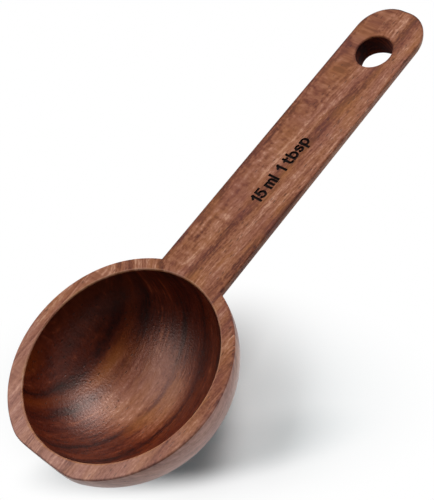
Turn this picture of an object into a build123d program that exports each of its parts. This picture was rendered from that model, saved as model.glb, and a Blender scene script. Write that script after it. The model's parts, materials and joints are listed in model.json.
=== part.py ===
"""Wooden measuring spoon that holds one level tablespoon, 15 ml.

The real spoon is carved from one piece of walnut. It is drawn here as two solids that meet
face to face at the neck: the bowl, and the handle coped to the bowl's outer wall. Both are
drawn level, with the rim and the top of the handle in Plane.XY, the middle of the mouth at
the origin and the handle along +Y. They are then laid down as the spoon lies on a table, on
the underside of the bowl and of the handle's tip. All sizes are in millimetres.
"""
import os
from math import atan, cos, degrees, hypot, pi, sin

from build123d import *

# Bowl
mouth_diameter = 41.6
bowl_depth = 16.55
rim_width = 3.1
floor_thickness = 3.15
lip_round = 0.4
mouth_setback = 0.35  # the mouth sits this far from the middle of the outside, towards the handle
toe_flat_depth = 1.15  # the front of the bowl is cut back this far, square to the handle
toe_blend_radius = 12.0  # rounds the flat's edge into the outside of the bowl

# Handle
handle_reach = 94.0  # from the middle of the mouth to the end of the handle
neck_width = 16.6
tip_width = 15.7
neck_thickness = 5.75
tip_corner_radius = 6.9
hole_diameter = 8.0
hole_to_end = 11.35
root_share = 0.5  # where the handle's blank starts, as a share of the mouth's radius

# Sizes that follow
mouth_radius = mouth_diameter / 2
outer_radius = mouth_radius + rim_width
outer_depth = bowl_depth + floor_thickness
outer_reach = outer_radius + mouth_setback
press_share = neck_thickness / (neck_width / 2)

# The tip, seen from above: how far the corner's centre lies from the handle's centre line
side_taper = atan((neck_width - tip_width) / 2 / (handle_reach - mouth_radius))
corner_to_side = tip_corner_radius / cos(side_taper) - tip_corner_radius * sin(side_taper) / cos(side_taper)
corner_offset = tip_width / 2 - corner_to_side
slope_rounds = 40


def rest_slope():
    """Slope of the table against the rim, where it touches both the bowl and the tip."""
    slope = 0
    for _ in range(slope_rounds):
        bowl_drop = hypot(outer_depth, slope * outer_radius)
        tip_drop = press_share * corner_offset + tip_corner_radius * hypot(press_share, slope)
        slope = (bowl_drop - tip_drop) / (handle_reach - tip_corner_radius + mouth_setback)
    return slope


rest_angle = atan(rest_slope())
bowl_support = hypot(outer_depth * cos(rest_angle), outer_radius * sin(rest_angle))
rim_height = bowl_support - mouth_setback * sin(rest_angle)


def pressed_ball(radius, depth):
    """Make a ball about the origin, pressed from its radius to a depth."""
    return scale(Sphere(radius, mode=Mode.PRIVATE), by=(1, 1, depth / radius), mode=Mode.PRIVATE)


outside = Pos(0, -mouth_setback) * pressed_ball(outer_radius, outer_depth)
hollow = pressed_ball(mouth_radius, bowl_depth)

# Bowl: a pressed ball with a flat on its toe, hollowed by another, halved and eased at the lip
with BuildPart() as bowl:
    add(outside)
    with BuildSketch():
        with Locations((0, -outer_reach)):
            Rectangle(2 * outer_radius, 2 * toe_flat_depth)
    extrude(amount=outer_depth, both=True, mode=Mode.SUBTRACT)
    toe_flat = bowl.faces().filter_by(Axis.Y).sort_by(Axis.Y)[0]
    fillet(toe_flat.edges(), radius=toe_blend_radius)
    add(hollow, mode=Mode.SUBTRACT)
    split(bisect_by=Plane.XY, keep=Keep.BOTTOM)
    lip = bowl.edges().group_by(Axis.Z)[-1].filter_by(lambda edge: edge.is_closed)
    fillet(lip, radius=lip_round)

# Handle: its plan outline turned about the centre line and pressed thinner, which gives the
# rounded underside, then cut flat on top and coped to the outer wall of the bowl
with BuildPart() as handle:
    with BuildSketch() as half_plan:
        with BuildLine():
            Polyline(
                (0, root_share * mouth_radius),
                (neck_width / 2, root_share * mouth_radius),
                (neck_width / 2, mouth_radius),
                (tip_width / 2, handle_reach),
                (0, handle_reach),
                close=True,
            )
        make_face()
        tip_corner = half_plan.vertices().group_by(Axis.Y)[-1].sort_by(Axis.X)[-1]
        fillet(tip_corner, radius=tip_corner_radius)
    revolve(axis=Axis.Y)
    scale(by=(1, 1, press_share))
    split(bisect_by=Plane.XY, keep=Keep.BOTTOM)
    add(outside, mode=Mode.SUBTRACT)
    with Locations((0, handle_reach - hole_to_end)):
        Hole(radius=hole_diameter / 2)

# Lay the spoon down, with the origin on the table below the middle of its length
tip_over = Rotation(-degrees(rest_angle), 0, 0)
front = (tip_over * bowl.part).bounding_box().min.Y
back = (tip_over * handle.part).bounding_box().max.Y
mouth_place = -(front + back) / 2
lie = Location((0, mouth_place, rim_height), (-degrees(rest_angle), 0, 0))
bowl.part.locate(lie)
handle.part.locate(lie)

os.makedirs("parts", exist_ok=True)
bowl.part.label = "bowl"
export_step(bowl.part, "parts/bowl.step")
handle.part.label = "handle"
export_step(handle.part, "parts/handle.step")

capacity = 2 / 3 * pi * mouth_radius**2 * bowl_depth
print(f"level capacity {capacity / 1000:.2f} ml, lies at {degrees(rest_angle):.3f} degrees")
print(f"rim height {rim_height:.3f}, middle of the mouth at y {mouth_place:.3f}")
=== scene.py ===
"""Dresses the wooden measuring spoon: one carved, sanded and oiled piece of walnut.

The spoon is modelled level, in millimetres, with the rim and the top of the handle at height
zero, the middle of the mouth at the origin and the handle along +Y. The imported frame's mounts
then say how it lies on the table, and the finished mesh is laid down there in metres.
"""
import json
import logging
from collections.abc import Callable, Iterable, Sequence
from dataclasses import dataclass, field, replace
from enum import Enum
from math import atan2, cos, hypot, pi, radians, sin, tan

import bmesh
import bpy
from mathutils import Matrix, Vector


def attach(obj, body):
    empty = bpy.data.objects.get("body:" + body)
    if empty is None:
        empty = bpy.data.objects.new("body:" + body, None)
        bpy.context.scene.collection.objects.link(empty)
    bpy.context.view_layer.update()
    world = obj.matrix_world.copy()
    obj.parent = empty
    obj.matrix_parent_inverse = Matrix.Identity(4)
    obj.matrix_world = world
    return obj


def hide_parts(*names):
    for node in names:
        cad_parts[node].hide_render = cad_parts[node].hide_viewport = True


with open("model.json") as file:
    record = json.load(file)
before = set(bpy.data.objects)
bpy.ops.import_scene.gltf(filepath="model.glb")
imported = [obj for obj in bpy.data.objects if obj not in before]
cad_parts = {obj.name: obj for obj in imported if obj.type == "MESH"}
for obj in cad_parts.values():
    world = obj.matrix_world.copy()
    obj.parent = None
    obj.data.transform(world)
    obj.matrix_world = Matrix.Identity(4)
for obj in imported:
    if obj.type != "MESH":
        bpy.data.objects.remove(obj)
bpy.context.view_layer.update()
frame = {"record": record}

LOG = logging.getLogger("spoon")
MM = 0.001
PHOTO_LONG_SIDE = 500  # pixels
FULL_TURN = 2 * pi
QUARTER_TURN = pi / 2
NO_HEIGHT = 1e-4  # millimetres: closer than this to the top counts as on it
FACES_UP = 0.99  # a face whose normal points up by more than this lies in the top
TRUE_ARC = 0.5  # Blender's bevel profile for a round edge

Piece = bpy.types.Object
Node = bpy.types.Node
Socket = bpy.types.NodeSocket
Colour = tuple[float, float, float, float]
Point = tuple[float, float]
Triple = tuple[float, float, float]
Term = float | Triple | Colour | Vector | Node | Socket


class Join(Enum):
    """What one solid does to another."""

    ADD = "UNION"
    CARVE = "DIFFERENCE"


# Where the spoon lies


@dataclass(frozen=True)
class Lie:
    """How the level spoon is laid down in the row frame: it only tips about the X axis."""

    origin: Vector
    tip: float

    @classmethod
    def from_record(cls, record: dict) -> "Lie":
        """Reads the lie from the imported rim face, whose plane holds the middle of the mouth.

        Args:
            record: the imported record.

        Returns:
            The lie of the spoon.
        """
        rim = next(m for m in record["mounts"] if m["name"] == "rim_face")
        _, across, up = rim["axis"]
        _, y, z = rim["pos_m"]
        return cls(Vector((0, y, z)), -atan2(across, up))

    @property
    def matrix(self) -> Matrix:
        """From level millimetres to row metres."""
        turn = Matrix.Rotation(self.tip, 4, "X")
        return Matrix.Translation(self.origin) @ turn @ Matrix.Scale(MM, 4)

    @property
    def grain(self) -> Vector:
        """Direction of the grain, which runs along the handle, in the row frame."""
        return Vector((0, cos(self.tip), sin(self.tip)))

    def mapping(self) -> dict[str, Vector | Triple]:
        """Inputs of a Mapping node that turns row metres back into level millimetres."""
        back = self.matrix.inverted()
        return {
            "Location": back.to_translation(),
            "Rotation": (-self.tip, 0, 0),
            "Scale": (1 / MM, 1 / MM, 1 / MM),
        }


# Mesh tools


def linked(name: str, data: bpy.types.ID) -> Piece:
    """Puts a mesh, lamp or camera into the scene as an object of this name."""
    piece = bpy.data.objects.new(name, data)
    bpy.context.scene.collection.objects.link(piece)
    return piece


def piece_from(name: str, bm: bmesh.types.BMesh) -> Piece:
    """Turns a bmesh into an object with outward faces.

    Args:
        name: name of the new object.
        bm: the mesh, which is freed.

    Returns:
        The new object, linked to the scene.
    """
    bmesh.ops.recalc_face_normals(bm, faces=bm.faces)
    mesh = bpy.data.meshes.new(name)
    bm.to_mesh(mesh)
    bm.free()
    return linked(name, mesh)


def skin(name: str, rings: Sequence[Sequence[Vector]], closed: bool = False) -> Piece:
    """Skins closed rings of equal length, and closes the two ends.

    Args:
        name: name of the new object.
        rings: the rings, in order; a ring of one point closes to a pole.
        closed: whether the last ring joins the first one instead of being an end.

    Returns:
        A closed object.
    """
    bm = bmesh.new()
    made = [[bm.verts.new(point) for point in ring] for ring in rings]
    followers = made[1:] + made[:1] if closed else made[1:]
    for low, high in zip(made, followers):
        count = max(len(low), len(high))
        for i in range(count):
            j = (i + 1) % count
            corners = [low[i % len(low)], low[j % len(low)], high[j % len(high)], high[i % len(high)]]
            bm.faces.new(dict.fromkeys(corners))  # a pole's two corners count once
    for end in () if closed else (made[0], made[-1]):
        if len(end) > 1:
            bm.faces.new(end)
    return piece_from(name, bm)


def lathe(name: str, profile: Iterable[Point], steps: int) -> Piece:
    """Turns a profile about the Z axis.

    Args:
        name: name of the new object.
        profile: radius and height of each ring, from the bottom up.
        steps: how many steps make a full turn.

    Returns:
        A closed object.
    """
    rings = []
    for radius, height in profile:
        bends = [FULL_TURN * i / steps for i in range(steps if radius else 1)]
        rings.append([Vector((radius * cos(bend), radius * sin(bend), height)) for bend in bends])
    return skin(name, rings)


def join(body: Piece, tool: Piece, how: Join) -> None:
    """Adds a solid to the body or carves it out, and uses the tool up.

    Args:
        body: the piece that is changed.
        tool: the closed solid that changes it, whose finish the cut faces take.
        how: whether it is added or carved out.
    """
    step = body.modifiers.new("join", "BOOLEAN")
    step.operation = how.value
    step.solver = "EXACT"
    step.material_mode = "TRANSFER"
    step.object = tool
    settled = body.evaluated_get(bpy.context.evaluated_depsgraph_get())
    mesh = bpy.data.meshes.new_from_object(settled)
    body.modifiers.clear()
    body.data = mesh
    bpy.data.objects.remove(tool)


def slab(name: str, low: Vector, high: Vector) -> Piece:
    """Makes a block between its lowest and its highest corner."""
    around = [(low.x, low.y), (high.x, low.y), (high.x, high.y), (low.x, high.y)]
    return skin(name, [[Vector((x, y, z)) for x, y in around] for z in (low.z, high.z)])


def ease(
    bm: bmesh.types.BMesh, radius: float, steps: int, chosen: Callable[[Vector], bool], finish: int
) -> None:
    """Rounds over the edges of the flat top that a test picks out.

    Args:
        bm: the mesh.
        radius: radius of the rounded edge.
        steps: how many faces make the rounding.
        chosen: says whether an edge with this middle is rounded.
        finish: number of the finish that the rounding takes.
    """
    bm.normal_update()
    edges = []
    for edge in bm.edges:
        middle = (edge.verts[0].co + edge.verts[1].co) / 2
        on_top = [face.normal.z > FACES_UP for face in edge.link_faces]
        if abs(middle.z) < NO_HEIGHT and any(on_top) and not all(on_top) and chosen(middle):
            edges.append(edge)
    shape = {"offset": radius, "offset_type": "OFFSET", "segments": steps, "profile": TRUE_ARC}
    bmesh.ops.bevel(bm, geom=edges, affect="EDGES", clamp_overlap=False, material=finish, **shape)


# The spoon's parts, level and in millimetres


@dataclass
class Bowl:
    """The turned bowl: a pressed ball outside, flattened at its toe, and another inside."""

    mouth_radius: float = 20.8
    depth: float = 16.55  # with the mouth's radius it holds 15 ml, level
    rim_width: float = 3.1
    floor_thickness: float = 3.15
    setback: float = 0.35  # the mouth sits this far from the middle of the outside
    toe_reach: float = 23.1  # from the middle of the mouth to the flat on the toe
    toe_blend: float = 0.8  # how gently the flat runs out into the round
    lip_round: float = 0.4
    stock: float = 1.0  # wood above the rim that is sawn off
    steps: int = 256
    rings: int = 64

    def half_ball(self, name: str, radius: float, depth: float, stock: float) -> Piece:
        """Makes the lower half of a pressed ball, carried straight up past the rim.

        Args:
            name: name of the new object.
            radius: radius at the rim.
            depth: depth below the rim.
            stock: how far it stands above the rim.

        Returns:
            A closed object.
        """
        bends = [QUARTER_TURN * i / self.rings for i in range(self.rings)]
        profile = [(radius * sin(bend), -depth * cos(bend)) for bend in bends]
        return lathe(name, [*profile, (radius, stock)], self.steps)

    def toe(self, y: float) -> float:
        """Draws a place beyond the toe's flat back to it, with a soft run-out."""
        near = max(self.toe_blend - abs(y + self.toe_reach), 0) / self.toe_blend
        return max(y, -self.toe_reach) + near**2 * self.toe_blend / 4

    def blank(self) -> Piece:
        """Makes the outside of the bowl, still with stock above the rim."""
        outer_radius = self.mouth_radius + self.rim_width
        outer_depth = self.depth + self.floor_thickness
        blank = self.half_ball("bowl_blank", outer_radius, outer_depth, self.stock)
        for vertex in blank.data.vertices:
            vertex.co.y = self.toe(vertex.co.y - self.setback)
        return blank

    def hollow(self) -> Piece:
        """Makes the solid that is carved out of the bowl."""
        return self.half_ball("bowl_hollow", self.mouth_radius, self.depth, 2 * self.stock)

    def is_lip(self, place: Vector) -> bool:
        """Says whether a place on the top lies on the lip of the mouth."""
        return hypot(place.x, place.y) < self.mouth_radius + self.rim_width / 3


@dataclass
class Handle:
    """The tapered handle, flat on top and rounded below, with its hanging hole."""

    root: float = 21.2  # where its blank starts, inside the bowl's wall
    shoulder: float = 20.8  # where its taper starts
    reach: float = 94.0  # from the middle of the mouth to its end
    neck_width: float = 16.6
    tip_width: float = 15.7
    neck_thickness: float = 5.75
    corner_radius: float = 6.9
    hole_radius: float = 4.0
    hole_to_end: float = 11.35
    edge_round: float = 0.35
    stock: float = 0.7  # wood above the top that is sawn off
    steps_across: int = 56
    steps_along: int = 72
    corner_steps: int = 28
    hole_steps: int = 96

    @property
    def hole_place(self) -> Vector:
        """Middle of the hanging hole on the top of the handle."""
        return Vector((0, self.reach - self.hole_to_end, 0))

    def half_widths(self) -> list[Point]:
        """Place along the handle and half width there, from the root round the tip's corner."""
        slope = (self.neck_width - self.tip_width) / 2 / (self.reach - self.shoulder)
        taper = atan2(slope, 1)
        inset = self.corner_radius * (1 - sin(taper)) / cos(taper)
        centre = self.tip_width / 2 - inset
        radius, steps = self.corner_radius, self.corner_steps
        bends = [taper + (QUARTER_TURN - taper) * i / steps for i in range(steps + 1)]
        corner = [
            (self.reach - radius * (1 - sin(bend)), centre + radius * cos(bend)) for bend in bends
        ]
        run = (corner[0][0] - self.root) / self.steps_along
        side = [self.root + run * i for i in range(self.steps_along)]
        widths = [self.neck_width / 2 - slope * (place - self.shoulder) for place in side]
        return [*zip(side, widths), *corner]

    def blank(self) -> Piece:
        """Makes the handle, still with stock above its top."""
        press = self.neck_thickness / (self.neck_width / 2)
        bends = [pi * (i + 0.5) / self.steps_across for i in range(self.steps_across)]
        rings = []
        for place, half in self.half_widths():
            under = [Vector((-half * cos(turn), place, -press * half * sin(turn))) for turn in bends]
            over = [Vector((half, place, self.stock)), Vector((-half, place, self.stock))]
            rings.append([*under, *over])
        return skin("handle_blank", rings)

    def hole(self) -> Piece:
        """Makes the drill that cuts the hanging hole."""
        deep = -self.neck_thickness - self.stock
        ends = [(self.hole_radius, deep), (self.hole_radius, 2 * self.stock)]
        drill = lathe("hole_drill", ends, self.hole_steps)
        drill.data.transform(Matrix.Translation(self.hole_place))
        return drill


def arc(middle: Point, radii: Point, start: float, end: float, steps: int) -> list[Point]:
    """Draws a stretch of an upright ellipse, from one turn in degrees to another."""
    turns = [radians(start + (end - start) * i / steps) for i in range(steps + 1)]
    return [(middle[0] + radii[0] * cos(turn), middle[1] + radii[1] * sin(turn)) for turn in turns]


@dataclass
class Marking:
    """The capacity, burnt into the handle: plain measure units in plain upright strokes.

    The pen's path is drawn in heights of a capital letter. A glyph is its width and strokes.
    """

    words: str = "15 ml  1 tbsp"
    start: float = 41.9  # place of its first stroke along the spoon
    length: float = 16.6
    baseline: float = 1.85  # to the right of the handle's middle
    capital_height: float = 2.35
    pen_width: float = 0.56
    burn_depth: float = 0.28
    depth_gain: float = 0.25  # share that the burn deepens by, so that no two floors are level
    overrun: float = 0.5  # how far a cutter stands above the top
    space: float = 0.30  # between words, in heights of a capital
    gap: float = 0.26  # between letters
    closing_share: float = 0.1  # share of the pen's width between the ends of a closed stroke
    sharpest: float = 0.5  # keeps a sharp bend from growing a spike

    def glyphs(self) -> dict[str, tuple[float, list[list[Point]]]]:
        """Gives the width and the strokes of each letter and figure."""
        loop = arc((0.28, 0.35), (0.28, 0.35), 180, -180, 20)
        hook = [(0.14, 0.95), (0.14, 0.22), *arc((0.34, 0.22), (0.2, 0.22), 200, 280, 4)]
        belly = arc((0.25, 0.33), (0.29, 0.33), 135, -150, 16)
        snake = [
            *arc((0.23, 0.53), (0.21, 0.17), 35, 270, 12),
            *arc((0.23, 0.18), (0.22, 0.18), 90, -150, 12)[1:],
        ]
        arches = [
            [(left, 0.3), *arc((left + 0.19, 0.5), (0.19, 0.2), 180, 0, 8), (left + 0.38, 0.0)]
            for left in (0.0, 0.38)
        ]
        return {
            "1": (0.3, [[(0.0, 0.74), (0.24, 0.98)], [(0.24, 1.0), (0.24, 0.0)]]),
            "5": (0.54, [[(0.5, 1.0), (0.1, 1.0), (0.06, 0.52)], belly]),
            "m": (0.76, [[(0.0, 0.0), (0.0, 0.7)], *arches]),
            "l": (0.0, [[(0.0, 0.0), (0.0, 1.0)]]),
            "t": (0.4, [hook, [(0.0, 0.7), (0.38, 0.7)]]),
            "b": (0.56, [[(0.0, 0.0), (0.0, 1.0)], loop]),
            "s": (0.48, [snake]),
            "p": (0.56, [[(0.0, -0.3), (0.0, 0.7)], loop]),
        }

    def strokes(self) -> list[list[Point]]:
        """Sets the words in a line, and gives every stroke in heights of a capital."""
        glyphs = self.glyphs()
        placed = []
        pen = 0.0
        for letter in self.words:
            if letter == " ":
                pen += self.space
                continue
            width, strokes = glyphs[letter]
            placed += [[(x + pen, y) for x, y in stroke] for stroke in strokes]
            pen += width + self.gap
        return placed

    def stroke_solid(self, points: Sequence[Point], depth: float) -> Piece:
        """Makes a square-ended bar along a stroke, or a ring where the stroke closes.

        Args:
            points: the pen's path on the top of the handle, in millimetres.
            depth: how deep it is burnt.

        Returns:
            A closed object from above the top down to the burn's floor.
        """
        path = [Vector(point) for point in points]
        closed = (path[0] - path[-1]).length < self.pen_width * self.closing_share
        if closed:
            path.pop()
        rings = []
        for i, place in enumerate(path):
            before = path[i - 1] if i or closed else None
            after = path[(i + 1) % len(path)] if i + 1 < len(path) or closed else None
            runs = [(b - a).normalized() for a, b in ((before, place), (place, after)) if a and b]
            along = sum(runs, Vector((0, 0))).normalized()
            widening = max(along.dot(runs[0]), self.sharpest)
            side = Vector((-along.y, along.x)) * self.pen_width / 2 / widening
            if len(runs) == 1:
                place = place + along * self.pen_width / 2 * (1 if before else -1)
            edges = [(place + side, self.overrun), (place - side, self.overrun)]
            edges += [(spot, -depth) for spot, _ in reversed(edges)]
            rings.append([Vector((*spot, height)) for spot, height in edges])
        return skin("stroke", rings, closed)

    def bars(self) -> list[Piece]:
        """Makes a solid for every stroke, each burnt a hair deeper than the one before."""
        strokes = self.strokes()
        ends = [x for stroke in strokes for x, _ in stroke]
        stretch = self.length / (max(ends) - min(ends))
        bars = []
        for i, stroke in enumerate(strokes):
            laid = [(self.baseline - y * self.capital_height, self.start + x * stretch) for x, y in stroke]
            deeper = 1 + self.depth_gain * i / len(strokes)
            bars.append(self.stroke_solid(laid, self.burn_depth * deeper))
        return bars


# Finishes


def linear(code: str) -> Colour:
    """Turns an sRGB hex colour, such as "#8a5743", into linear light by the standard's curve."""
    parts = [int(code[i : i + 2], 16) / 255 for i in (1, 3, 5)]
    red, green, blue = (c / 12.92 if c <= 0.04045 else ((c + 0.055) / 1.055) ** 2.4 for c in parts)
    return red, green, blue, 1.0


def grey(level: float) -> Colour:
    """A grey of this linear level."""
    return level, level, level, 1.0


class Graph:
    """The nodes of a material or world, added one at a time."""

    def __init__(self, owner: bpy.types.Material | bpy.types.World) -> None:
        """Empties the owner's node tree."""
        owner.use_nodes = True
        self.tree = owner.node_tree
        self.tree.nodes.clear()

    def add(
        self,
        kind: str,
        inputs: dict[str | int, Term] | None = None,
        stops: Sequence[tuple[float, Colour]] = (),
        **settings: object,
    ) -> Node:
        """Adds one node with its settings and links.

        Args:
            kind: the node's type, without its "ShaderNode".
            inputs: a value, a socket or a node for each socket that is set.
            stops: place and colour of each stop, for a colour ramp.
            settings: the node's other settings.

        Returns:
            The new node.
        """
        node = self.tree.nodes.new("ShaderNode" + kind)
        for name, value in settings.items():
            setattr(node, name, value)
        for socket, value in (inputs or {}).items():
            if isinstance(value, Node):
                value = next(out for out in value.outputs if out.enabled)
            if isinstance(value, Socket):
                self.tree.links.new(value, node.inputs[socket])
            else:
                node.inputs[socket].default_value = value
        for i, (place, colour) in enumerate(stops):
            ramp = node.color_ramp.elements
            stop = ramp[i] if i < 2 else ramp.new(place)
            stop.position = place
            stop.color = colour
        return node

    def math(self, how: str, *terms: Term, clamp: bool = False) -> Node:
        """Adds a Math node that does this operation to these terms."""
        return self.add("Math", dict(enumerate(terms)), operation=how, use_clamp=clamp)

    def vector(self, how: str, *terms: Term) -> Node:
        """Adds a VectorMath node that does this operation to these terms."""
        return self.add("VectorMath", dict(enumerate(terms)), operation=how)

    def ramp(self, value: Term, run: Point, to: Point = (0.0, 1.0), soft: bool = False) -> Node:
        """Adds a MapRange node, which holds its last value beyond each end.

        Args:
            value: what is mapped.
            run: the values between which it changes.
            to: what it gives at the two.
            soft: whether it starts and ends gently.

        Returns:
            The new node.
        """
        ends = {"From Min": run[0], "From Max": run[1], "To Min": to[0], "To Max": to[1]}
        how = "SMOOTHSTEP" if soft else "LINEAR"
        return self.add("MapRange", {"Value": value, **ends}, interpolation_type=how)

    def noise(self, at: Term, rates: Triple, detail: float) -> Node:
        """Adds noise that changes at these rates along the three axes."""
        scaled = self.vector("MULTIPLY", at, rates)
        return self.add("TexNoise", {"Vector": scaled, "Scale": 1.0, "Detail": detail})

    def lay(self, shade: str, under: Term, share: Term) -> Socket:
        """Covers a share of a colour with an sRGB hex shade."""
        mix = {"Factor": share, "A": under, "B": linear(shade)}
        return self.add("Mix", mix, data_type="RGBA").outputs["Result"]


@dataclass(frozen=True)
class Spot:
    """The place that is shaded, in level millimetres: whole, and along each axis."""

    whole: Node
    x: Socket
    y: Socket
    z: Socket


@dataclass(frozen=True)
class Figure:
    """The figure of black walnut heartwood, cut from a board whose growth layers lean.

    The layers show as straight bands on the handle, and as bent ones where the bowl is turned
    through them. Sizes are in millimetres, and tones run from 0, dark, to 1, light.
    """

    lie: Lie
    bowl: Bowl
    contrast: float = 1.45  # how strongly the figure shows
    streaked: float = 1.0  # how strongly its streaks show
    golden: float = 0.0  # how golden its golden layers are
    lean: float = tan(radians(27))  # how far a layer moves across for each step down
    left_lean: float = -0.16  # the same at the bowl's left, where the layers curve back
    left_reach: float = 18.0  # how far left of the middle they have done so
    neck: Point = (14.0, 22.0)  # where the bowl's layers turn into the handle's
    drift: float = -4.6  # how far the bands move to the right along the handle
    drift_run: Point = (-5.0, 95.0)
    drift_edge: Point = (-7.5, -1.0)  # the handle's left edge holds its bands
    wander: float = 2.4  # how far the layers sway from side to side
    wander_run: Triple = (12.0, 38.0, 12.0)  # and the length of a sway each way
    reach: float = 24.0  # the bands are placed this far to each side of the middle
    bands: tuple[Point, ...] = (  # place and tone of each growth layer
        (-24.0, 0.45), (-22.1, 0.72), (-20.9, 0.24), (-18.9, 0.66), (-17.2, 0.24), (-15.1, 0.66),
        (-13.6, 0.60), (-11.3, 0.66), (-9.0, 0.52), (-7.75, 0.18), (-6.7, 0.42), (-5.6, 0.46),
        (-4.2, 0.60), (-3.0, 0.62), (-1.9, 0.30), (-0.9, 0.20), (0.3, 0.46), (2.0, 0.62),
        (4.2, 0.56), (6.0, 0.26), (7.4, 0.34), (9.0, 0.56), (11.5, 0.60), (14.0, 0.36),
        (17.0, 0.60), (20.0, 0.38), (24.0, 0.52),
    )
    streaks: tuple[Triple, ...] = (
        (1.5, 30.0, 0.55),  # width, length and strength of each kind of streak
        (0.55, 8.0, 0.9),
        (0.45, 1.6, 0.85),  # real fibres are finer: these are as coarse as the render can show
        (0.35, 0.6, 0.65),
    )
    streak_depth: float = 0.12  # how fast streaks change through the wood, against across it
    curl: Triple = (4.5, 1.15, 0.62)  # width, pitch and strength of the ripples
    curl_edge: Point = (1.5, -3.0)  # they grow from here to there across the handle
    curl_right: float = 0.15  # share of them that is left on the right
    curl_in_bowl: float = 0.2  # and in the bowl
    shades: tuple[tuple[float, str], ...] = (
        (0.00, "#5b2815"),
        (0.17, "#713a21"),
        (0.35, "#854c31"),
        (0.50, "#90593c"),
        (0.67, "#9b6347"),
        (0.85, "#a8725a"),
        (1.00, "#bf8d71"),
    )
    hues: tuple[tuple[float, str, float], ...] = (
        (2.4, "#a1642f", 0.45),  # size, shade and strength of the golden clouds
        (3.6, "#7a3f38", 0.45),  # and of the wine-red ones
    )
    hue_length: float = 0.3  # how fast they change along the grain, against across it
    hue_apart: Triple = (31.0, 17.0, 5.0)  # keeps the two kinds from lying on each other
    hue_range: Point = (0.45, 0.7)  # share of the noise where a cloud starts, and is full
    ambers: tuple[Triple, ...] = (
        (-22.8, 1.3, 1.0),  # place, half width and strength of each golden layer
        (-18.2, 1.5, 0.6),
    )
    amber_shade: str = "#ab7232"
    pore_pitch: Point = (0.7, 2.6)  # across and along the grain
    pore_share: float = 0.22  # a pore's radius against its pitch, drawn coarse so that it shows
    pore_depth: float = 0.6
    pore_shade: str = "#33190f"
    pore_run: Point = (-4.0, 3.0)  # they get more from here to there across the spoon
    pore_chance: float = 0.5  # share of them that is open at the left
    end_soak: float = 1.12  # gamma of end grain, which drinks more oil than long grain

    def place(self, g: Graph) -> Spot:
        """Gives the place that is shaded."""
        here = g.add("TexCoord").outputs["Object"]
        level = g.add("Mapping", {"Vector": here, **self.lie.mapping()})
        return Spot(level, *g.add("SeparateXYZ", {0: level}).outputs)

    def layer(self, g: Graph, at: Spot) -> Node:
        """Works out which growth layer a place is in, in millimetres across the middle.

        Args:
            g: the material's nodes.
            at: the place.

        Returns:
            The node that gives the layer.
        """
        # How far the place lies below the hollow's own surface in the bowl's middle plane.
        across = g.math("MULTIPLY", at.x, 1 / self.bowl.mouth_radius)
        square = g.math("MULTIPLY", across, across)
        rest = g.math("SUBTRACT", 1.0, square, clamp=True)
        root = g.math("SQRT", rest)
        bottom = g.math("MULTIPLY", root, -self.bowl.depth)
        over = g.math("SUBTRACT", bottom, at.z)
        # The lean is held back there, more and more towards the left, and only in the bowl.
        straighter = g.ramp(at.x, (-self.left_reach, 0.0), (self.lean - self.left_lean, 0.0))
        in_bowl = g.ramp(at.y, self.neck, (1.0, 0.0), soft=True)
        held = g.math("MULTIPLY", straighter, in_bowl)
        leaned = g.math("MULTIPLY_ADD", at.z, self.lean, at.x)
        bowed = g.math("MULTIPLY_ADD", over, held, leaned)
        drift = g.ramp(at.y, self.drift_run, (0.0, self.drift), soft=True)
        free = g.ramp(at.x, self.drift_edge, soft=True)
        drifted = g.math("MULTIPLY_ADD", drift, free, bowed)
        sway = g.noise(at.whole, tuple(1 / run for run in self.wander_run), detail=2.0)
        return g.math("MULTIPLY_ADD", sway, self.wander, drifted)

    def tone(self, g: Graph, at: Spot, layered: Node) -> Node:
        """Lays streaks and ripples over the bands.

        Args:
            g: the material's nodes.
            at: the place.
            layered: the place, with the growth layer in place of the width.

        Returns:
            The node that gives the tone.
        """
        layer = g.add("SeparateXYZ", {0: layered})
        middle, reach = self.wander / 2, self.reach
        along_bands = g.ramp(layer, (middle - reach, middle + reach))
        stops = [((band + reach) / (2 * reach), grey(light)) for band, light in self.bands]
        tone = g.add("ValToRGB", {0: along_bands}, stops)
        tone.color_ramp.interpolation = "EASE"
        for width, length, strength in self.streaks:
            rates = (1 / width, 1 / length, self.streak_depth / width)
            streak = g.noise(layered, rates, detail=2.0)
            tone = g.math("MULTIPLY_ADD", streak, strength * self.streaked, tone)
        width, pitch, strength = self.curl
        ripple = g.noise(at.whole, (1 / width, 1 / pitch, 1 / width), detail=1.0)
        swing = g.math("SUBTRACT", ripple, 0.5)
        across = g.ramp(at.x, self.curl_edge, (self.curl_right * strength, strength))
        along = g.ramp(at.y, self.neck, (self.curl_in_bowl, 1.0))
        share = g.math("MULTIPLY", across, along)
        tone = g.math("MULTIPLY_ADD", swing, share, tone)
        mean = sum(strength for _, _, strength in self.streaks) * self.streaked / 2
        return g.math("SUBTRACT", tone, mean)

    def pores(self, g: Graph, at: Spot) -> Node:
        """Scatters the open pores, short dark dashes along the grain, more to the right.

        Args:
            g: the material's nodes.
            at: the place.

        Returns:
            The node that gives how deep in a pore a place is, from 0 to 1.
        """
        across, along = self.pore_pitch
        scaled = g.vector("MULTIPLY", at.whole, (1 / across, 1 / along, 1 / across))
        cells = g.add("TexVoronoi", {"Vector": scaled, "Scale": 1.0})
        rim = self.pore_share
        dash = g.ramp(cells.outputs["Distance"], (rim, rim / 2), soft=True)
        share = g.ramp(at.x, self.pore_run, (self.pore_chance, 1.0))
        chance = g.add("SeparateColor", {0: cells.outputs["Color"]})
        open_here = g.math("LESS_THAN", chance, share)
        return g.math("MULTIPLY", dash, open_here)

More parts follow.
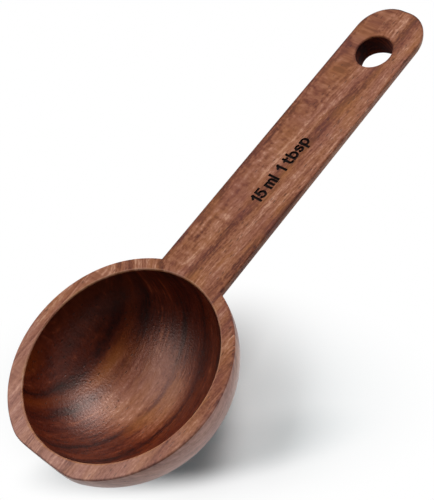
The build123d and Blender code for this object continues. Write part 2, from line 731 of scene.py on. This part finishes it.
    def hue(self, g: Graph, layered: Node, wood: Socket) -> Socket:
        """Turns the wood golden in some places and wine red in others.

        Args:
            g: the material's nodes.
            layered: the place, with the growth layer in place of the width.
            wood: the colour so far.

        Returns:
            The socket that gives the new colour.
        """
        apart, along, down = self.hue_apart
        for i, (size, shade, strength) in enumerate(self.hues):
            rates = (1 / size, self.hue_length / size, self.streak_depth / size)
            scaled = g.vector("MULTIPLY", layered, rates)
            moved = g.vector("ADD", scaled, (apart * i, along, down))
            cloud = g.add("TexNoise", {"Vector": moved, "Scale": 1.0, "Detail": 3.0})
            share = g.ramp(cloud, self.hue_range, (0.0, strength))
            wood = g.lay(shade, wood, share)
        return wood

    def amber(self, g: Graph, layered: Node, wood: Socket) -> Socket:
        """Turns a few whole layers golden.

        Args:
            g: the material's nodes.
            layered: the place, with the growth layer in place of the width.
            wood: the colour so far.

        Returns:
            The socket that gives the new colour.
        """
        layer = g.add("SeparateXYZ", {0: layered})
        for place, half, strength in self.ambers:
            off = g.math("SUBTRACT", layer, place)
            away = g.math("ABSOLUTE", off)
            share = g.ramp(away, (half, 0.0), (0.0, self.golden * strength), soft=True)
            wood = g.lay(self.amber_shade, wood, share)
        return wood

    def dress(self, g: Graph, at: Spot) -> tuple[Node, Node, Node]:
        """Builds the figure.

        Args:
            g: the material's nodes.
            at: the place.

        Returns:
            The nodes that give the colour, the tone and the pores.
        """
        layer = self.layer(g, at)
        layered = g.add("CombineXYZ", {0: layer, 1: at.y, 2: at.z})
        tone = self.tone(g, at, layered)
        shown = g.ramp(tone, (0.0, 1.0), (0.5 - self.contrast / 2, 0.5 + self.contrast / 2))
        heart = g.add("ValToRGB", {0: shown}, [(light, linear(code)) for light, code in self.shades])
        wood = self.hue(g, layered, heart.outputs["Color"])
        if self.golden:
            wood = self.amber(g, layered, wood)
        pores = self.pores(g, at)
        depth = g.math("MULTIPLY", pores, self.pore_depth)
        pored = g.lay(self.pore_shade, wood, depth)
        # The faces that look along the grain are end grain.
        normal = g.add("NewGeometry").outputs["Normal"]
        ends = g.vector("DOT_PRODUCT", normal, self.lie.grain)
        square = g.math("MULTIPLY", ends, ends)
        soaked = g.ramp(square, (0.0, 1.0), (1.0, self.end_soak))
        colour = g.add("Gamma", {"Color": pored, "Gamma": soaked})
        return colour, tone, pores


class Surface(Enum):
    """Where on the spoon a finish lies, and what its material is called."""

    OUTSIDE = "walnut_sanded_and_wiped_with_oil"
    WALL = "walnut_wall_sanded_dry"
    INSIDE = "walnut_turned_and_soaked_with_oil"
    HOLE = "walnut_drilled_end_grain"
    LIP = "walnut_lip_rubbed_bare"
    EDGE = "walnut_edge_broken_and_oiled"


@dataclass(frozen=True)
class Walnut:
    """Black walnut, sanded fine and oiled: satin wood with its fibres just to be felt.

    A pale mauve painted reflection of the white floor veils the figure on the bowl's front right wall and
    at the toe.
    """

    figure: Figure
    name: str
    deepening: float = 1.0  # gamma of painted shade that darkens and reddens the wood, or below 1 of a painted highlight that pales it
    roughness: Point = (0.60, 0.72)
    gloss: float = 0.35
    gloss_shade: str = "#ffffff"
    wall_soak: float = 0.0  # gamma of painted shade on the hollow's walls, growing away from its lit bottom
    worn: Triple = (-3.4, 0.8, 0.0)  # middle of that lit bottom, seen from above
    worn_run: Point = (6.5, 14.5)  # and the distances over which the painted shade grows
    side_soak: float = 0.0  # gamma of painted shade on the hollow's upper left side, where its wall lies in shade
    side_slant: float = -0.75  # how much that side turns from the left towards the handle
    side_run: Point = (0.0, -20.0)  # it grows from here to there
    sheen: float = 0.0
    sheen_roughness: float = 0.35
    dust: float = 0.0  # share of the wood that the painted reflection covers on the walls
    dust_shade: str = "#e0b4aa"
    dust_side: Point = (0.5, -0.87)  # towards the front right of the bowl
    dust_run: Point = (-8.0, 14.0)
    dust_grain: Point = (0.55, 1.35)  # it shows less on dark wood than on light
    dust_height: Point = (0.0, -8.0)  # it grows from the rim to here
    dust_rim: float = 0.6  # share of it at the rim
    under_height: Point = (-18.0, -12.0)  # it goes again from the second down to the first
    dust_under: float = 0.3  # share of it on the underside
    toe_dust: float = 0.0  # and at the toe
    toe_run: Point = (5.0, -24.0)  # from the middle of the mouth to the toe
    relief: float = 0.05  # height of the fibres
    relief_strength: float = 0.5
    speckle: float = 0.1  # height of the mottle against the fibres' height
    mottle_density: float = 2.2  # patches of thicker and thinner oil in a millimetre
    mottle_range: Point = (0.3, 0.7)

    @classmethod
    def of(cls, surface: Surface, figure: Figure) -> "Walnut":
        """Picks the finish for a surface.

        Args:
            surface: where it lies.
            figure: the wood's figure.

        Returns:
            The finish.
        """
        name = surface.value
        if surface is Surface.INSIDE:
            # Turned and oiled, with a soft broad gloss; painted shade darkens and reddens its walls round
            # a lit bottom, and its upper left.
            return cls(
                replace(figure, contrast=1.15, streaked=0.9, golden=0.8),
                name,
                roughness=(0.34, 0.44),
                gloss=0.65,
                gloss_shade="#ffe2d8",
                wall_soak=0.85,
                side_soak=0.3,
                speckle=2.4,
            )
        if surface is Surface.HOLE:
            # Drilled end grain, darkened as painted shade for the inside of the hole; it hardly shines.
            return cls(figure, name, deepening=1.9, roughness=(0.70, 0.80), gloss=0.08)
        if surface is Surface.LIP:
            # A pale line is painted along the lip as its highlight.
            plainer = replace(figure, contrast=0.8)
            return cls(plainer, name, deepening=0.8, roughness=(0.40, 0.50))
        if surface is Surface.EDGE:
            # A thin darker line of painted shade runs round the spoon's rounded edges, which also carry
            # the pale painted reflection.
            return cls(figure, name, deepening=1.12, dust=0.2, toe_dust=0.26)
        if surface is Surface.WALL:
            # Sanded across the grain, with a pale mauve painted reflection of the white floor on its front
            # right.
            return cls(figure, name, sheen=0.6, dust=0.85, toe_dust=0.26)
        # Drum-sanded and wiped with oil: satin, with the figure at its clearest, and a pale painted
        # reflection at the toe.
        return cls(figure, name, sheen=0.25, dust=0.01, toe_dust=0.26)

    def dusty(self, g: Graph, at: Spot, tone: Node, wood: Socket) -> Socket:
        """Paints a pale reflection of the white floor over the front right of the bowl's wall, and the
        toe.

        Args:
            g: the material's nodes.
            at: the place.
            tone: the figure's tone, which the painted reflection follows.
            wood: the oiled wood's colour.

        Returns:
            The socket that gives the veiled colour.
        """
        down = g.ramp(at.z, self.dust_height, (self.dust_rim * self.dust, self.dust))
        under = g.ramp(at.z, self.under_height, (self.dust_under, 1.0))
        band = g.math("MULTIPLY", down, under)
        right, front = self.dust_side
        to_side = g.math("MULTIPLY", at.x, right)
        slant = g.math("MULTIPLY_ADD", at.y, front, to_side)
        side = g.ramp(slant, self.dust_run, soft=True)
        below_rim = g.math("LESS_THAN", at.z, -NO_HEIGHT)
        side_wall = g.math("MULTIPLY", side, below_rim)
        walls = g.math("MULTIPLY", band, side_wall)
        toe = g.ramp(at.y, self.toe_run, (0.0, self.toe_dust), soft=True)
        thicker = g.math("MAXIMUM", walls, toe)
        held = g.ramp(tone, (0.0, 1.0), self.dust_grain)
        veil = g.math("MULTIPLY", thicker, held, clamp=True)
        return g.lay(self.dust_shade, wood, veil)

    def soak(self, g: Graph, at: Spot) -> Node:
        """Works out the gamma of painted shade and highlight.

        Args:
            g: the material's nodes.
            at: the place.

        Returns:
            The node that gives the gamma which darkens and reddens the wood as painted shade, or pales it
            as a painted highlight.
        """
        off = g.vector("SUBTRACT", at.whole, self.worn)
        plan = g.vector("MULTIPLY", off, (1, 1, 0))
        away = g.vector("LENGTH", plan)
        most = self.deepening + self.wall_soak
        walls = g.ramp(away, self.worn_run, (self.deepening, most), soft=True)
        slant = g.math("MULTIPLY_ADD", at.y, self.side_slant, at.x)
        side = g.ramp(slant, self.side_run, (0.0, self.side_soak))
        return g.math("ADD", walls, side)

    def build(self) -> bpy.types.Material:
        """Makes the material."""
        material = bpy.data.materials.new(self.name)
        g = Graph(material)
        at = self.figure.place(g)
        colour, tone, pores = self.figure.dress(g, at)
        # Painted shade and highlight, laid on the wood's colour as a gamma.
        wood = g.add("Gamma", {"Color": colour, "Gamma": self.soak(g, at)}).outputs["Color"]
        # A pale painted reflection of the white floor on the front right wall and the toe.
        if self.dust:
            wood = self.dusty(g, at, tone, wood)
        mottle = g.add("TexNoise", {"Vector": at.whole, "Scale": self.mottle_density, "Detail": 3.0})
        fibres = g.math("SUBTRACT", tone, pores)
        height = g.math("MULTIPLY_ADD", mottle, self.speckle, fibres)
        relief = {"Height": height, "Strength": self.relief_strength, "Distance": self.relief * MM}
        looks = {
            "Base Color": wood,
            "Roughness": g.ramp(mottle, self.mottle_range, self.roughness),
            "Specular IOR Level": self.gloss,
            "Specular Tint": linear(self.gloss_shade),
            "Sheen Weight": self.sheen,
            "Sheen Roughness": self.sheen_roughness,
            "Normal": g.add("Bump", relief),
        }
        g.add("OutputMaterial", {"Surface": g.add("BsdfPrincipled", looks)})
        return material


@dataclass(frozen=True)
class Char:
    """Walnut burnt by a marking laser: matt, almost black, with a brown cast."""

    ash_shade: str = "#1c0d09"
    soot_shade: str = "#0d0504"
    ash_grit: float = 0.3  # millimetres
    roughness: float = 0.85
    gloss: float = 0.2

    def build(self) -> bpy.types.Material:
        """Makes the material, with ash that is a little paler in places."""
        material = bpy.data.materials.new("walnut_laser_charred")
        g = Graph(material)
        here = g.add("TexCoord").outputs["Object"]
        ash = g.add("TexNoise", {"Vector": here, "Scale": 1 / (self.ash_grit * MM)})
        looks = {
            "Base Color": g.lay(self.ash_shade, linear(self.soot_shade), ash),
            "Roughness": self.roughness,
            "Specular IOR Level": self.gloss,
        }
        g.add("OutputMaterial", {"Surface": g.add("BsdfPrincipled", looks)})
        return material


# The whole spoon


@dataclass
class Spoon:
    """The spoon as one carved piece, which stands for both solids of the frame."""

    lie: Lie
    bowl: Bowl = field(default_factory=Bowl)
    handle: Handle = field(default_factory=Handle)
    marking: Marking = field(default_factory=Marking)
    short_edge: float = 0.06  # shorter edges of the top are closed up before it is eased
    ease_steps: int = 4
    crease: float = radians(28)  # a sharper bend than this is shaded as an edge

    def carve(self, finishes: dict[Surface, bpy.types.Material]) -> Piece:
        """Carves the wood: blanks joined, top sawn flat, hollow and hole cut.

        Args:
            finishes: the finish of each surface.

        Returns:
            The carved wood.
        """
        body = self.bowl.blank()
        body.name = "carved_spoon"
        body.data.materials.append(finishes[Surface.WALL])
        wide, reach, high = 2 * self.bowl.mouth_radius, 2 * self.handle.reach, 3 * self.bowl.stock
        waste = slab("top_waste", Vector((-wide, -wide, 0)), Vector((wide, reach, high)))
        for tool, how, finish in (
            (self.bowl.hollow(), Join.CARVE, Surface.INSIDE),
            (self.handle.blank(), Join.ADD, Surface.OUTSIDE),
            (self.handle.hole(), Join.CARVE, Surface.HOLE),
            (waste, Join.CARVE, Surface.OUTSIDE),
        ):
            tool.data.materials.append(finishes[finish])
            join(body, tool, how)
        return body

    def ease_edges(self, body: Piece, finishes: dict[Surface, bpy.types.Material]) -> None:
        """Rounds the lip, the outline and the hole as fine sanding leaves them.

        Args:
            body: the carved wood.
            finishes: the finish of each surface.
        """
        bm = bmesh.new()
        bm.from_mesh(body.data)
        top = [v for v in bm.verts if abs(v.co.z) < NO_HEIGHT]
        bmesh.ops.remove_doubles(bm, verts=top, dist=self.short_edge)
        rest = len(body.data.materials)
        # The lip's rounding takes the painted highlight, the other rounded edges the painted shade.
        for surface in (Surface.LIP, Surface.EDGE):
            body.data.materials.append(finishes[surface])
        lip, steps = self.bowl.is_lip, self.ease_steps
        ease(bm, self.bowl.lip_round, steps, lip, rest)
        ease(bm, self.handle.edge_round, steps, lambda at: not lip(at), rest + 1)
        bm.to_mesh(body.data)
        bm.free()

    def finish_mesh(self, body: Piece) -> None:
        """Shades the curves smooth and the creases sharp, and lays the spoon down.

        Args:
            body: the carved and marked wood.
        """
        mesh = body.data
        top = [v.index for v in mesh.vertices if v.co.z > -2 * self.bowl.lip_round]
        mesh.transform(self.lie.matrix)
        mesh.shade_smooth()
        mesh.set_sharp_from_angle(angle=self.crease)
        near_top = body.vertex_groups.new(name="near_top")
        near_top.add(top, 1.0, "REPLACE")
        weigh = body.modifiers.new("flat_top_leads", "WEIGHTED_NORMAL")
        weigh.keep_sharp = True
        weigh.vertex_group = near_top.name

    def build(self) -> Piece:
        """Carves, marks, finishes and dresses the spoon."""
        figure = Figure(self.lie, self.bowl)
        finishes = {surface: Walnut.of(surface, figure).build() for surface in Surface}
        body = self.carve(finishes)
        self.ease_edges(body, finishes)
        burnt = Char().build()
        for bar in self.marking.bars():
            bar.data.materials.append(burnt)
            join(body, bar, Join.CARVE)
        self.finish_mesh(body)
        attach(body, "root")
        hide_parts("bowl", "handle")
        return body


# Studio


@dataclass(frozen=True)
class SoftBox:
    """A rectangular lamp that looks at the spoon. Its sizes are in metres."""

    name: str
    toward: Triple  # from the spoon to the lamp
    distance: float
    size: Point
    power: float  # watts

    def build(self) -> None:
        """Hangs the lamp."""
        lamp = bpy.data.lights.new(self.name, "AREA")
        lamp.shape = "RECTANGLE"
        lamp.size, lamp.size_y = self.size
        lamp.energy = self.power
        hung = linked(self.name, lamp)
        away = Vector(self.toward).normalized()
        hung.location = away * self.distance
        hung.rotation_mode = "QUATERNION"
        hung.rotation_quaternion = away.to_track_quat("Z", "Y")


@dataclass(frozen=True)
class Pool:
    """An oval on the floor that keeps the spoon's shadow; beyond it the floor turns white."""

    middle: Point  # millimetres
    turn: float
    size: Point  # half width and half depth, in millimetres
    fade: Point  # shares of the oval between which the floor turns white

    def beyond(self, g: Graph) -> Node:
        """Works out how far out of the pool a place on the floor is.

        Args:
            g: the nodes of the floor.

        Returns:
            The node that gives 0 well inside the pool and 1 outside it.
        """
        laid = {
            "Vector": g.add("TexCoord").outputs["Object"],
            "Location": Vector((*self.middle, 0)) * MM,
            "Rotation": (0, 0, self.turn),
            "Scale": Vector((*self.size, 1)) * MM,
        }
        oval = g.add("Mapping", laid, vector_type="TEXTURE")
        return g.ramp(g.vector("LENGTH", oval), self.fade, soft=True)


@dataclass
class Studio:
    """A plain white floor that runs out into a white room, under two soft lamps."""

    lamps: tuple[SoftBox, ...] = (
        SoftBox("side_lamp", (-0.48, -0.18, 0.86), distance=0.9, size=(0.9, 0.5), power=3.9),
        SoftBox("back_lamp", (0.02, 0.78, 0.63), distance=1.0, size=(0.5, 0.5), power=7.9),
    )
    floor_half: float = 3.0
    floor_colour: str = "#f4f6f6"  # a little cool, as the wood throws warm light on it
    floor_lift: float = 0.066  # brings the lit floor up to white, and leaves its shadow
    lift_shade: str = "#baf2ff"  # cool, against the warm light that the wood throws there
    pools: tuple[Pool, Pool] = (
        Pool((11.2, -42.0), radians(38), (43.3, 8.6), (0.36, 1.0)),  # the dark shadow at the bowl
        Pool((1.9, -33.0), radians(25), (58.7, 25.3), (0.13, 1.0)),  # the faint one round it
    )
    horizon: Point = (sin(radians(24)), sin(radians(12)))  # the wall is white below the second
    sky: float = 0.03  # strength of the room as a light

    def seen(self, g: Graph) -> Node:
        """Tells the rays that show the room from those that only light the spoon.

        Args:
            g: the nodes of the floor or the room.

        Returns:
            The node that gives 1 to a ray of the camera, of gloss or of transmission.
        """
        path = g.add("LightPath")
        looks = [path.outputs[f"Is {ray} Ray"] for ray in ("Camera", "Glossy", "Transmission")]
        either = g.math("MAXIMUM", looks[0], looks[1])
        return g.math("MAXIMUM", either, looks[2])

    def floor(self) -> None:
        """Lays the floor."""
        bm = bmesh.new()
        half = self.floor_half
        around = ((-half, -half), (half, -half), (half, half), (-half, half))
        bm.faces.new([bm.verts.new((x, y, 0)) for x, y in around])
        floor = piece_from("floor", bm)
        material = bpy.data.materials.new("matt_white_paper")
        g = Graph(material)
        white = g.math("MULTIPLY", *(pool.beyond(g) for pool in self.pools))
        seen = self.seen(g)
        lift = g.math("MULTIPLY", seen, self.floor_lift)
        share = g.math("MULTIPLY", seen, white)
        paper = g.add("BsdfDiffuse", {"Color": linear(self.floor_colour)})
        lifting = g.add("Emission", {"Color": linear(self.lift_shade), "Strength": lift})
        lifted = g.add("AddShader", {0: paper, 1: lifting})
        glow = g.add("Emission", {"Color": grey(1.0), "Strength": 1.0})
        shown = g.add("MixShader", {0: share, 1: lifted, 2: glow})
        g.add("OutputMaterial", {"Surface": shown})
        floor.data.materials.append(material)

    def world(self) -> None:
        """Sets the room: shown white round the horizon, and dim as a light."""
        world = bpy.data.worlds.new("room")
        bpy.context.scene.world = world
        g = Graph(world)
        ways = g.add("SeparateXYZ", {0: g.add("TexCoord").outputs["Generated"]})
        wall = g.ramp(ways.outputs["Z"], self.horizon, soft=True)
        shown = g.math("MULTIPLY", wall, self.seen(g))
        level = g.ramp(shown, (0.0, 1.0), (self.sky, 1.0))
        back = g.add("Background", {"Color": grey(1.0), "Strength": level})
        g.add("OutputWorld", {"Surface": back})

    def build(self) -> None:
        """Sets up floor, lamps and room."""
        self.floor()
        for lamp in self.lamps:
            lamp.build()
        self.world()


@dataclass
class Camera:
    """The photograph's view, as a distance and three angles about a point on the table."""

    aim: Vector = field(default_factory=lambda: Vector((-10.207, -4.034, 0)) * MM)
    distance: float = 278.67 * MM
    azimuth: float = radians(80.606)
    elevation: float = radians(52.464)
    roll: float = radians(49.100)
    focal_pixels: float = 1327.3
    sensor: float = 36.0  # millimetres
    nearest: float = 0.01

    def build(self) -> None:
        """Sets up the camera and makes it the scene's."""
        lens = bpy.data.cameras.new("camera")
        lens.sensor_width = self.sensor
        lens.lens = self.focal_pixels / PHOTO_LONG_SIDE * self.sensor
        lens.clip_start = self.nearest
        camera = linked("camera", lens)
        level = cos(self.elevation)
        back = Vector((sin(self.azimuth) * level, -cos(self.azimuth) * level, sin(self.elevation)))
        camera.location = self.aim + back * self.distance
        turn = (-back).to_track_quat("-Z", "Y").to_matrix() @ Matrix.Rotation(-self.roll, 3, "Z")
        camera.rotation_mode = "QUATERNION"
        camera.rotation_quaternion = turn.to_quaternion()
        bpy.context.scene.camera = camera


def main() -> None:
    """Builds the camera, the spoon and the studio, in that order."""
    logging.basicConfig(level=logging.INFO, format="%(name)s: %(message)s")
    bpy.context.scene.view_settings.view_transform = "Standard"
    Camera().build()
    spoon = Spoon(Lie.from_record(frame["record"])).build()
    LOG.info("%s: %d faces", spoon.name, len(spoon.data.polygons))
    Studio().build()


if __name__ == "__main__":
    main()
